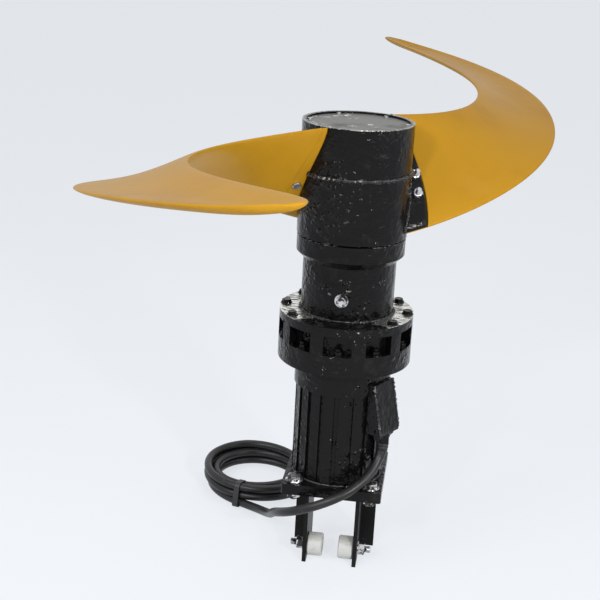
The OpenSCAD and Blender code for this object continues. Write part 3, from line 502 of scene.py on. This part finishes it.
ROOT_PITCH, TIP_PITCH, WASHOUT = 55, 9, 1.9
BLADE_PHASE, SKEW, SKEW_BOW = 204, 66, 17
ROOT_RISE, RAKE, RAKE_BOW = 0.005, 0.155, 0.050
CHORD, WAIST = 0.245, 0.025
TIP_START, TIP_POWER, TIP_BLUNT, TIP_END = 0.72, 2.5, 0.56, 0.99999
ROOT_T, TIP_T, TIP_SLIM, SOFT_POWER = 0.020, 0.011, 4, 6
DISH, DISH_CHORD = 0.009, 0.15
EDGE_POWER = 3.2
ROOT_TOP_LEN, ROOT_LEN, ROOT_SWELL, ROOT_SHARE = 0.010, 0.038, 0.005, 0.985
ROOT_BOLT_U, BLADE_GRIP, ROOT_GRIP = (-0.38, -0.06), 0.008, 0.012
HUB_GAP = 0.0002 / SPAN
HALF_SEAM = 0.00015
SECTION_N = 30
U = -np.cos(np.pi * np.arange(2 * SECTION_N) / SECTION_N)
UPPER = np.arange(2 * SECTION_N) <= SECTION_N


def smooth_step(share):
    return share * share * (3 - 2 * share)


def pitch_at(x):
    return np.radians(TIP_PITCH + (ROOT_PITCH - TIP_PITCH) * (1 - x) ** WASHOUT)


def turn_at(x):
    return np.radians(BLADE_PHASE + SKEW * x - SKEW_BOW * x * (1 - x))


def rise_at(x):
    return HUB_Z + HUB_H / 2 + ROOT_RISE + RAKE * x - RAKE_BOW * x * (1 - x)


def chord_at(x):
    beyond = np.clip((x - TIP_START) / (1 - TIP_START), 0, 1)
    tip = np.clip(1 - beyond ** TIP_POWER, 0, 1) ** TIP_BLUNT
    return tip * (CHORD - WAIST * np.sin(np.pi * np.minimum(x / TIP_START, 1)))


def thick_at(x):
    """The full thickness, or a share of the chord where that is less, with a soft change between them."""
    full, slim = ROOT_T + (TIP_T - ROOT_T) * x, chord_at(x) / TIP_SLIM
    return full / (1 + (full / slim) ** SOFT_POWER) ** (1 / SOFT_POWER)


def dish_at(x):
    """How far the mid line sinks between the edges; it fades out where the tip narrows."""
    return DISH * smooth_step(np.clip(chord_at(x) / DISH_CHORD, 0, 1))


def edge_at(u):
    """Share of the thickness that is left towards the edges."""
    return np.sqrt(np.clip(1 - np.abs(u) ** EDGE_POWER, 0, 1))


def root_end(u):
    return (ROOT_TOP_LEN + (ROOT_LEN - ROOT_TOP_LEN) * (1 - u) / 2) / SPAN


def wrapped(x, s, n):
    """The place of a section's point: s along the chord, n out of the blade."""
    r, b = HUB_R + x * SPAN, pitch_at(x)
    a = turn_at(x) + (s * np.cos(b) - n * np.sin(b)) / r
    return np.stack([r * np.cos(a), r * np.sin(a), rise_at(x) + s * np.sin(b) + n * np.cos(b)], -1)


def skin_point(x, u, height, share=1.0):
    """A point of the skin, at a height over the dished mid line that falls off towards the edges."""
    n = -dish_at(x) * (1 - u * u) + height * edge_at(u)
    return wrapped(x, share * u * chord_at(x) / 2, n)


def half_turn(points, side):
    return np.asarray(points) * (1 - 2 * side, 1 - 2 * side, 1)


def make_blade(side):
    """A tongue behind the steel root, a rounded step, then full sections up to the rounded tip."""
    end, step_len = root_end(U), 0.002 / SPAN
    share = np.linspace(0, 1, 12)[:, None]
    x = HUB_GAP + (end + HUB_GAP) * share
    tongue = skin_point(x, U, np.where(UPPER, -HALF_SEAM, -thick_at(x) / 2))
    share = np.linspace(0, 1, 5)[:, None]
    x = end + 2 * HUB_GAP + step_len * share
    half = thick_at(x) / 2
    step = skin_point(x, U, np.where(UPPER, half * np.sqrt(1 - (1 - share) ** 2), -half))
    start = end + 3 * HUB_GAP + step_len
    share = 1 - (1 - np.linspace(0, 1, 120)[:, None]) ** 2.2
    x = start + (TIP_END - start) * share
    half = thick_at(x) / 2
    open_part = skin_point(x, U, np.where(UPPER, half, -half))
    points, faces = loft(np.concatenate([tongue, step, open_part]))
    points = half_turn(points, side)
    name = f"blade_{side + 1}"
    piece = add_mesh(name + "_moulding", points, faces, OCHRE, "propeller")
    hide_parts(name)


def make_root(side):
    """The steel root on the blade's upper side, rounded off where it ends."""
    full, rest = 0.82, 0.18
    bow = np.sin(np.linspace(0, np.pi / 2, 9))[1:]
    share = np.concatenate([np.linspace(0, full, 12), full + rest * bow])[:, None]
    round_off = np.sqrt(np.clip(1 - np.clip((share - full) / rest, 0, 1) ** 2, 0, 1))
    start = -0.0005 / SPAN
    x = start + (root_end(U) - start) * share
    top = (thick_at(x) / 2 + ROOT_SWELL) * (0.55 + 0.45 * round_off)
    points, faces = loft(skin_point(x, U, np.where(UPPER, top, HALF_SEAM), ROOT_SHARE))
    points = half_turn(points, side)
    name = f"blade_root_{side + 1}"
    piece = add_mesh(name + "_casting", points, faces, PAINT, "propeller")
    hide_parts(name)


# The power cable: a lead that keeps close to the part's own, then the turns of the coil

CABLE_D, STRAIGHT = 0.018, 0.018
GLAND_R, GLAND_Z = 0.106, 0.288
GLAND = np.array((GLAND_R * math.cos(ENTRY_ANGLE), GLAND_R * math.sin(ENTRY_ANGLE), GLAND_Z))
LEAD = np.array([
    GLAND, GLAND - (0, 0, STRAIGHT),
    (0.087, -0.062, 0.244), (0.077, -0.084, 0.226), (0.059, -0.107, 0.212), (0.034, -0.124, 0.199),
    (0.005, -0.133, 0.187), (-0.025, -0.136, 0.175), (-0.055, -0.133, 0.159), (-0.084, -0.118, 0.144),
    (-0.104, -0.091, 0.130), (-0.116, -0.055, 0.112), (-0.125, -0.014, 0.087), (-0.130, 0.028, 0.060),
    (-0.141, 0.068, 0.038), (-0.157, 0.101, 0.0245), (-0.178, 0.132, 0.0155),
])
COIL_X, COIL_Y, COIL_R = -0.199, 0.270, 0.105
COLUMN, LAYER, FIRST_Z = 0.0094, 0.0184, 0.0111
COLUMN_TURNS, CROSSING, TURN_POINTS = 2.38, 0.16, 48
MERGE_ANGLE, TIE_ANGLE = math.radians(252), math.radians(257)
EASE_STEP, EASE_ROUNDS, EASED_COIL_POINTS = 0.005, 140, 22
HELD, FADE_IN, FADE_OUT = 0.016, 0.07, 0.15


def coil_points():
    """Clockwise up the outer column, across at the top, and down the inner column."""
    points = []
    for t in np.arange(0, 2 * COLUMN_TURNS + 0.001, 1 / TURN_POINTS):
        angle = MERGE_ANGLE - 2 * math.pi * t
        layers = min(t, COLUMN_TURNS) - max(0.0, t - COLUMN_TURNS)
        across = smooth_step(min(1.0, max(0.0, (t - COLUMN_TURNS + CROSSING) / (2 * CROSSING))))
        r = COIL_R + COLUMN * (1 - 2 * across)
        x, y = COIL_X + r * math.cos(angle), COIL_Y + r * math.sin(angle)
        points.append((x, y, FIRST_Z + LAYER * layers))
    return np.array(points)


def way_along(points):
    """Each point's distance from the first, along the line."""
    return np.concatenate([[0], np.linalg.norm(np.diff(points, axis=0), axis=1).cumsum()])


def places_at(points, stops):
    """Places on the line through the points, at distances from its start."""
    along = way_along(points)
    return np.array([np.interp(stops, along, points[:, k]) for k in range(3)]).T


def smooth_route(points):
    """Even steps along the points, eased into gentle bends; the first straight and both ends are held."""
    length = way_along(points)[-1]
    stops = np.linspace(0, length, int(length / EASE_STEP) + 1)
    route = places_at(points, stops)
    share = np.minimum(np.clip((stops - HELD) / FADE_IN, 0, 1), np.clip((length - stops) / FADE_OUT, 0, 1))
    share = share[1:-1, None] / 2
    for _ in range(EASE_ROUNDS):
        route[1:-1] += share * ((route[:-2] + route[2:]) / 2 - route[1:-1])
    return route


def make_cable():
    coil = coil_points()
    eased = smooth_route(np.vstack([LEAD, coil[:EASED_COIL_POINTS]]))
    wound = coil[EASED_COIL_POINTS:]
    curve = bpy.data.curves.new("power_cable", "CURVE")
    curve.dimensions = "3D"
    curve.bevel_depth, curve.bevel_resolution, curve.use_fill_caps = CABLE_D / 2, 5, True
    curve.resolution_u = 4
    marks = np.vstack([eased[::4], wound])
    spline = curve.splines.new("NURBS")
    spline.points.add(len(marks) - 1)
    spline.points.foreach_set("co", np.column_stack([marks, np.ones(len(marks))]).ravel())
    spline.order_u, spline.use_endpoint_u, spline.use_smooth = 4, True, True
    curve.materials.append(RUBBER)
    cable = bpy.data.objects.new("power_cable", curve)
    scene.collection.objects.link(cable)
    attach(cable, "stator")
    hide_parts("cable_lead", "cable_coil")
    return cable, np.vstack([eased, wound])


def make_boot(route):
    """The tapered, ribbed rubber sleeve under the gland."""
    boot_l, boot_r, taper, rib_h, rib_pitch = 0.034, 0.0128, 0.0031, 0.0009, 0.0068
    stops = np.linspace(0, boot_l, 41)
    ribs = rib_h * (np.cos(2 * np.pi * stops / rib_pitch) > 0)
    radii = boot_r - taper * stops / boot_l - ribs
    points, faces = tube(places_at(route, stops), radii, 28)
    add_mesh("cable_boot", points, faces, RUBBER, "stator")


def make_end_cap(route):
    """The shrunk cap that seals the cable's free end."""
    cap_r, lap, barrel, dome = 0.00915, 0.0015, 0.004, 0.005
    ahead = route[-1] - route[-2]
    ahead /= np.linalg.norm(ahead)
    bow = np.linspace(0, np.pi / 2, 9)[:-1]
    places = route[-1] + ahead * np.concatenate([[-lap], barrel + dome * np.sin(bow)])[:, None]
    radii = cap_r * np.concatenate([[1], np.cos(bow)])
    points, faces = tube(places, radii, 24)
    return add_mesh("cable_end_cap", points, faces, STRAP, "stator")


def make_strap(route):
    """A plastic strap drawn round the turns of the coil."""
    sides, near_angle, near_r = 72, math.radians(7), COIL_R + 0.03
    profile = ((0.0092, -0.006), (0.0106, -0.0065), (0.0108, -0.005),
               (0.0108, 0.005), (0.0106, 0.0065), (0.0092, 0.006))
    flat = route[:, :2] - (COIL_X, COIL_Y)
    away = np.linalg.norm(flat, axis=1)
    turn = np.angle(np.exp(1j * (np.arctan2(flat[:, 1], flat[:, 0]) - TIE_ANGLE)))
    near = (np.abs(turn) < near_angle) & (away < near_r)
    spots = np.column_stack([away[near], route[near, 2]])
    angle = 2 * np.pi * np.arange(sides) / sides
    rays = np.column_stack([np.cos(angle), np.sin(angle)])
    held = spots[np.argmax(spots @ rays.T, axis=0)]
    outward = np.array((math.cos(TIE_ANGLE), math.sin(TIE_ANGLE), 0))
    sideways = np.array((-math.sin(TIE_ANGLE), math.cos(TIE_ANGLE), 0))
    points, faces = [], []
    for gap, half in profile:
        loop = held + gap * rays
        centre = (COIL_X, COIL_Y, 0) + half * sideways
        points.extend(centre + loop[:, :1] * outward + loop[:, 1:] * np.array((0, 0, 1.0)))
    for i in range(len(profile)):
        for j in range(sides):
            a, b = i * sides, (i + 1) % len(profile) * sides
            k = (j + 1) % sides
            faces.append((b + j, b + k, a + k, a + j))
    strap = add_mesh("coil_strap", points, faces, STRAP, "stator")
    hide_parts("coil_tie")
    return strap


# Geometry Nodes: weld beads along a path, and fasteners at marked places

def piece_tree(name, inputs):
    tree = bpy.data.node_groups.new(name, "GeometryNodeTree")
    tree.interface.new_socket("Geometry", in_out="INPUT", socket_type="NodeSocketGeometry")
    keys = {}
    for label, kind, value in inputs:
        socket = tree.interface.new_socket(label, in_out="INPUT", socket_type="NodeSocket" + kind)
        if value is not None:
            socket.default_value = value
        keys[label] = socket.identifier
    tree.interface.new_socket("Geometry", in_out="OUTPUT", socket_type="NodeSocketGeometry")
    return tree, keys, tree.nodes.new("NodeGroupInput"), tree.nodes.new("NodeGroupOutput")


def end_tree(tree, geometry, inp, out):
    real = tree.nodes.new("GeometryNodeRealizeInstances")
    finish = tree.nodes.new("GeometryNodeSetMaterial")
    tree.links.new(geometry, real.inputs[0])
    tree.links.new(real.outputs[0], finish.inputs["Geometry"])
    tree.links.new(inp.outputs["Finish"], finish.inputs["Material"])
    tree.links.new(finish.outputs[0], out.inputs[0])


def bead_tree():
    """Uneven lumps along a path, as a hand-laid weld leaves them."""
    tree, keys, inp, out = piece_tree("weld_bead", [
        ("Spacing", "Float", 0.003), ("Radius", "Float", 0.003), ("Unevenness", "Float", 0.3),
        ("Seed", "Int", 1), ("Finish", "Material", None)])
    path = tree.nodes.new("GeometryNodeMeshToCurve")
    steps = tree.nodes.new("GeometryNodeResampleCurve")
    steps.mode = "LENGTH"
    lump = tree.nodes.new("GeometryNodeMeshUVSphere")
    lump.inputs["Segments"].default_value, lump.inputs["Rings"].default_value = 8, 6
    smooth = tree.nodes.new("GeometryNodeSetShadeSmooth")
    place = tree.nodes.new("GeometryNodeInstanceOnPoints")
    vary = tree.nodes.new("FunctionNodeRandomValue")
    link = tree.links.new
    link(inp.outputs["Geometry"], path.inputs["Mesh"])
    link(path.outputs[0], steps.inputs["Curve"])
    link(inp.outputs["Spacing"], steps.inputs["Length"])
    link(inp.outputs["Radius"], lump.inputs["Radius"])
    link(lump.outputs["Mesh"], smooth.inputs["Geometry"])
    link(math_node(tree, "SUBTRACT", 1.0, inp.outputs["Unevenness"]), vary.inputs[2])
    link(math_node(tree, "ADD", 1.0, inp.outputs["Unevenness"]), vary.inputs[3])
    link(inp.outputs["Seed"], vary.inputs["Seed"])
    link(steps.outputs[0], place.inputs["Points"])
    link(smooth.outputs[0], place.inputs["Instance"])
    link(vary.outputs[1], place.inputs["Scale"])
    end_tree(tree, place.outputs[0], inp, out)
    return tree, keys


def named_attribute(tree, name, kind):
    node = tree.nodes.new("GeometryNodeInputNamedAttribute")
    node.data_type = kind
    node.inputs["Name"].default_value = name
    return node.outputs["Attribute"]


def fastener_tree():
    """One fastener at each point, along the point's axis and turned by its spin."""
    tree, keys, inp, out = piece_tree("fastener_set", [
        ("Fastener", "Object", None), ("Finish", "Material", None)])
    info = tree.nodes.new("GeometryNodeObjectInfo")
    aim = tree.nodes.new("FunctionNodeAlignRotationToVector")
    aim.axis = "Z"
    turn = tree.nodes.new("ShaderNodeCombineXYZ")
    angle = tree.nodes.new("FunctionNodeEulerToRotation")
    both = tree.nodes.new("FunctionNodeRotateRotation")
    both.rotation_space = "LOCAL"
    place = tree.nodes.new("GeometryNodeInstanceOnPoints")
    link = tree.links.new
    link(inp.outputs["Fastener"], info.inputs["Object"])
    link(named_attribute(tree, "axis", "FLOAT_VECTOR"), aim.inputs["Vector"])
    link(named_attribute(tree, "spin", "FLOAT"), turn.inputs["Z"])
    link(turn.outputs[0], angle.inputs[0])
    link(aim.outputs[0], both.inputs["Rotation"])
    link(angle.outputs[0], both.inputs["Rotate By"])
    link(inp.outputs["Geometry"], place.inputs["Points"])
    link(info.outputs["Geometry"], place.inputs["Instance"])
    link(both.outputs[0], place.inputs["Rotation"])
    end_tree(tree, place.outputs[0], inp, out)
    return tree, keys


BEAD, BEAD_KEYS = bead_tree()
FASTENERS, FASTENER_KEYS = fastener_tree()


def grow(name, mesh, tree, keys, values, body):
    """Runs a tree on a helper mesh and keeps the result as a plain mesh piece."""
    helper = bpy.data.objects.new(name + "_helper", mesh)
    scene.collection.objects.link(helper)
    maker = helper.modifiers.new("maker", "NODES")
    maker.node_group = tree
    for label, value in values.items():
        maker[keys[label]] = value
    grown = bpy.data.meshes.new_from_object(helper.evaluated_get(bpy.context.evaluated_depsgraph_get()))
    helper.modifiers.remove(maker)
    bpy.data.objects.remove(helper)
    piece = bpy.data.objects.new(name, grown)
    scene.collection.objects.link(piece)
    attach(piece, body)
    return piece


# Fasteners

SIDES = 24
M10, M14, M16 = 0.010, 0.014, 0.016
WASHER_T, CHAMFER_R, CHAMFER_SLOPE = 0.15, 0.94, 0.577
THREAD_ROWS, THREAD_CORE = 17, 0.88


def hexagon(d):
    """Radii round a hexagon of width 1.8 d over its corners, and half its width over flats."""
    angle = 360 * np.arange(SIDES) / SIDES
    flat = 0.9 * d * math.cos(math.pi / 6)
    return flat / np.cos(np.radians(angle % 60 - 30)), flat


def turned_mesh(name, rows):
    """A closed mesh through rows of (radius, height), each of them one number or one for each side."""
    angle = 2 * np.pi * np.arange(SIDES) / SIDES
    ones = np.ones(SIDES)
    rings = [np.column_stack([r * np.cos(angle), r * np.sin(angle), z * ones]) for r, z in rows]
    points, faces = loft(np.array(rings))
    mesh = bpy.data.meshes.new(name)
    mesh.from_pydata([tuple(p) for p in points], [], faces)
    mesh.shade_smooth()
    mesh.set_sharp_from_angle(angle=math.radians(34))
    return mesh


def washer_rows(d):
    return [(1.1 * d, 0.0), (1.12 * d, 0.06 * d), (1.08 * d, WASHER_T * d)]


def bolt_rows(d, length, head, washer=True):
    """A shank below the seat and a hexagon head above it, with or without a washer."""
    corner, flat = hexagon(d)
    rim = CHAMFER_R * flat
    base = WASHER_T * d if washer else 0.0
    return [
        (d / 2, -length), (d / 2, 0), *(washer_rows(d) if washer else []),
        (corner, base), (corner, head - (corner - rim) * CHAMFER_SLOPE),
        (rim, head), (0.5 * flat, head - 0.0004),
    ]


def nut_rows(d, height, end):
    """A hexagon nut on a washer, and the thread that stands out of it."""
    corner, flat = hexagon(d)
    rim, base = CHAMFER_R * flat, WASHER_T * d
    chamfer = (corner - rim) * CHAMFER_SLOPE
    rows = washer_rows(d)
    rows += [(rim, base), (corner, base + chamfer), (corner, height - chamfer)]
    rows += [(rim, height), (0.56 * d, height)]
    for i in range(THREAD_ROWS):
        rows.append((d / 2 * (1 if i % 2 else THREAD_CORE), height + end * i / THREAD_ROWS))
    return rows + [(0.36 * d, height + end)]


def fasten(name, rows, places, finish, body, slot, *stands_for):
    """Puts one turned fastener at each (point, axis, spin)."""
    shape = bpy.data.objects.new(name + "_shape", turned_mesh(name + "_shape", rows))
    scene.collection.objects.link(shape)
    mesh = bpy.data.meshes.new(name)
    mesh.from_pydata([tuple(p) for p, _, _ in places], [], [])
    axis = mesh.attributes.new("axis", "FLOAT_VECTOR", "POINT")
    axis.data.foreach_set("vector", np.array([a for _, a, _ in places], dtype=np.float32).ravel())
    spin = mesh.attributes.new("spin", "FLOAT", "POINT")
    spin.data.foreach_set("value", np.array([s for _, _, s in places], dtype=np.float32))
    piece = grow(name, mesh, FASTENERS, FASTENER_KEYS, {"Fastener": shape, "Finish": finish}, body)
    bpy.data.objects.remove(shape)
    if stands_for:
        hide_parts(*stands_for)


def flange_places(phase, z):
    angles = [math.radians(phase + 360 * i / FLANGE_N) for i in range(FLANGE_N)]
    return [((FLANGE_BOLT_R * math.cos(a), FLANGE_BOLT_R * math.sin(a), z), (0, 0, 1), a) for a in angles]


def root_places(grip, sense):
    """Places on the root bolts' axes: sense -1 under the blade, 1 over the steel root."""
    places = []
    for side in (0, 1):
        for u in ROOT_BOLT_U:
            x = root_end(u) / 2
            b = float(pitch_at(x))
            p = wrapped(x, u * float(chord_at(x)) / 2, 0.0)
            a = math.atan2(p[1], p[0])
            out = np.array((math.sin(a) * math.sin(b), -math.cos(a) * math.sin(b), math.cos(b)))
            spot = p + out * (-DISH * (1 - u * u) + sense * grip)
            places.append((half_turn(spot, side), half_turn(sense * out, side), 0.4))
    return places


def axle_places(x, sense, spin):
    """Places on both rollers' axles, facing outwards or inwards."""
    return [((s * x, ROLLER_Y, ROLLER_Z), (sense * s, 0, 0), spin) for s in (-1, 1)]


def make_fasteners():
    corners = [(x, y) for x in (-CORNER_BOLT, CORNER_BOLT) for y in (-CORNER_BOLT, CORNER_BOLT)]
    heads = [((x, y, CASING_FOOT), (0, 0, 1), 8 * x) for x, y in corners]
    nuts = [((x, y, PLATE_FOOT), (0, 0, -1), 9 * y) for x, y in corners]
    fasten("flange_bolts", bolt_rows(M10, length=0.020, head=0.0072),
           flange_places(FLANGE_PHASE, FLANGE_TOP),
           PAINT, "stator", "black_paint", "gearbox_bolts")
    fasten("window_nuts", nut_rows(M10, height=0.009, end=0.004),
           flange_places(FLANGE_PHASE + 180 / FLANGE_N, LANTERN_BASE),
           PAINT, "stator", "black_paint", "motor_nuts")
    fasten("plate_bolts", bolt_rows(M16, length=0.022, head=0.0108), heads,
           SPLASHED, "stator", "bolt_steel", "corner_bolts")
    fasten("plate_nuts", nut_rows(M16, height=0.0128, end=0.0048), nuts,
           SPLASHED, "stator", "bolt_steel", "corner_nuts")
    fasten("root_bolt_heads", bolt_rows(M10, length=0.020, head=0.0068), root_places(BLADE_GRIP, -1),
           BOLT_STEEL, "propeller", "bolt_steel", "root_bolts")
    fasten("root_bolt_nuts", nut_rows(M10, height=0.008, end=0.014), root_places(ROOT_GRIP, 1),
           BOLT_STEEL, "propeller", "bolt_steel", "root_nuts")
    fasten("roller_axle_nuts", nut_rows(M14, height=0.0151, end=0.012), axle_places(LEG_SIDE_X, 1, 0.3),
           SPLASHED, "stator", "bolt_steel")
    fasten("roller_axle_bolts", bolt_rows(M14, length=0.028, head=0.0078, washer=False),
           axle_places(ROLLER_HEAD_X, -1, 0.1), BOLT_STEEL, "stator", "bolt_steel", "roller_bolts")


# Welds

WELD_OUT, WELD_UP = 0.0002, 0.0008


def weld(name, body, runs, radius, seed):
    """A bead of lumps along each run of points."""
    points, edges = [], []
    for run in runs:
        edges += [(len(points) + i, len(points) + i + 1) for i in range(len(run) - 1)]
        points += [tuple(p) for p in run]
    mesh = bpy.data.meshes.new(name)
    mesh.from_pydata(points, edges, [])
    values = {"Spacing": radius * 1.05, "Radius": radius, "Unevenness": 0.42, "Seed": seed, "Finish": WELD}
    grow(name, mesh, BEAD, BEAD_KEYS, values, body)


def circle(radius, z):
    angle = np.linspace(0, 2 * np.pi, 121)
    return np.column_stack([radius * np.cos(angle), radius * np.sin(angle), np.full(angle.shape, z)])


def make_welds():
    neck = circle(NECK_R + WELD_OUT, FLANGE_TOP + WELD_UP)
    collar = circle(COLLAR_R + WELD_OUT, COLLAR_TOP - 0.0005)
    casing_foot = circle(CASING_R - 0.0015, CASING_FOOT + WELD_UP)
    weld("hub_seam_weld", "propeller", [circle(HUB_R, HUB_SEAM)], radius=0.0042, seed=3)
    weld("neck_weld", "stator", [neck], radius=0.0036, seed=5)
    weld("collar_weld", "stator", [collar], radius=0.0030, seed=7)
    weld("casing_foot_weld", "stator", [casing_foot], radius=0.0034, seed=9)
    x, u = 0.0006 / SPAN, np.linspace(-0.985, 0.97, 60)
    run = skin_point(x, u, thick_at(x) / 2 + ROOT_SWELL, ROOT_SHARE)
    weld("root_welds", "propeller", [run, half_turn(run, 1)], radius=0.0036, seed=11)
    entry = Matrix.Rotation(ENTRY_ANGLE, 3, "Z")
    runs = []
    for y in (-ENTRY_SIDE, ENTRY_SIDE):
        top, foot = (entry @ Vector((r, y, z)) for r, z in (ENTRY_SEAM_TOP, ENTRY_SEAM_FOOT))
        runs.append([tuple(top.lerp(foot, i / 20)) for i in range(21)])
    weld("entry_welds", "stator", runs, radius=0.0026, seed=13)


make_camera()
make_world()
make_floor()
softbox("key_light", (-2.2, -2.4, 2.9), (0, 0, 0.6), 1.6, 1.6, 54)
softbox("fill_light", (2.6, -1.4, 1.6), (0, 0, 0.5), 1.4, 2.0, 17)
softbox("spark_left", (-0.7, -2.6, 1.9), (0, 0, 0.5), 0.22, 0.22, 26)
softbox("spark_right", (1.4, -2.2, 1.5), (0, 0, 0.5), 0.2, 0.2, 40)
softbox("top_light", (0.3, 0.6, 3.2), (0, 0, 0.7), 2.2, 1.4, 14)
dress_nodes()
cable, route = make_cable()
make_boot(route)
tails = [make_strap(route), make_end_cap(route)]
length = float(way_along(route)[-1])
for half in (0, 1):
    make_blade(half)
    make_root(half)
make_fasteners()
make_welds()

scene.view_settings.view_transform = "Standard"
